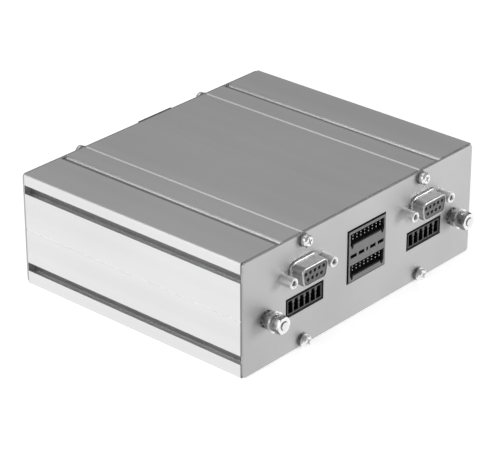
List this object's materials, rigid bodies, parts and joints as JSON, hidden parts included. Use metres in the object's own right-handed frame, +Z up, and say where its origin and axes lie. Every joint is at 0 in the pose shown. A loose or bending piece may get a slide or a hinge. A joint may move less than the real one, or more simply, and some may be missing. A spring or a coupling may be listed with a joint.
{
  "type": "motion controller",
  "caption": "Boxed motion controller: extruded aluminium housing with end plates, serial sockets, terminal headers, a stacked header and earth studs",
  "frame": {"origin": "centre of the housing's footprint, on the surface that it rests on", "axes": "+X to the right seen from the front plate, +Y from the front plate to the rear plate, +Z up"},
  "size_m": [0.15, 0.1428, 0.052],
  "materials": {
    "anodised_aluminium": "bead-blasted and clear anodised",
    "plate_aluminium": "sheet, fine brushed and clear anodised",
    "plated_steel": "bright zinc plated",
    "tinned_shell": "tin plated, drawn",
    "gold_contact": "gold flashed",
    "tinned_pin": "tin plated",
    "black_plastic": "moulded, fine grain",
    "grey_plastic": "moulded, fine grain",
    "insulator_plastic": "moulded, satin",
    "circuit_board": "green solder mask on glass laminate",
    "chip_package": "moulded epoxy",
    "heat_metal": "milled",
    "soft_pad": "soft silicone",
    "can_sleeve": "drawn can in a dark sleeve",
    "ferrite": "sintered",
    "copper_wire": "enamelled",
    "fuse_glass": "clear tube with plated caps"
  },
  "bodies": {
    "root": {"board_link_header": "black_plastic", "board_link_socket": "black_plastic", "board_screws": "plated_steel", "board_spacers": "plated_steel", "bulk_capacitors": "can_sleeve", "clock_crystal": "tinned_shell", "current_shunts": "ferrite", "earth_studs": "plated_steel", "extruded_housing": "anodised_aluminium", "front_plate": "plate_aluminium", "fuse_clips": "tinned_shell", "gate_drivers": "chip_package", "heat_spreader": "heat_metal", "inductor_core": "ferrite", "inductor_winding": "copper_wire", "input_fuse": "fuse_glass", "left_jack_posts": "plated_steel", "left_socket_brackets": "tinned_shell", "left_socket_contacts": "gold_contact", "left_socket_insulator": "insulator_plastic", "left_socket_shell": "tinned_shell", "left_terminal_header": "grey_plastic", "left_terminal_pins": "tinned_pin", "line_transceivers": "chip_package", "logic_chips": "chip_package", "lower_board": "circuit_board", "memory_chips": "chip_package", "plate_flat_washers": "plated_steel", "plate_lock_washers": "plated_steel", "plate_screws": "plated_steel", "power_transistors": "chip_package", "processor": "chip_package", "rear_plate": "plate_aluminium", "right_jack_posts": "plated_steel", "right_socket_brackets": "tinned_shell", "right_socket_contacts": "gold_contact", "right_socket_insulator": "insulator_plastic", "right_socket_shell": "tinned_shell", "right_terminal_header": "grey_plastic", "right_terminal_pins": "tinned_pin", "stacked_header_body": "grey_plastic", "stacked_header_pins": "tinned_pin", "stacked_header_shrouds": "black_plastic", "stud_back_nuts": "plated_steel", "stud_base_nuts": "plated_steel", "stud_flat_washers": "plated_steel", "stud_outer_nuts": "plated_steel", "stud_spring_washers": "plated_steel", "stud_tooth_washers": "plated_steel", "supply_header": "black_plastic", "supply_pins": "tinned_pin", "thermal_pad": "soft_pad", "upper_board": "circuit_board"}
  },
  "joints": []
}
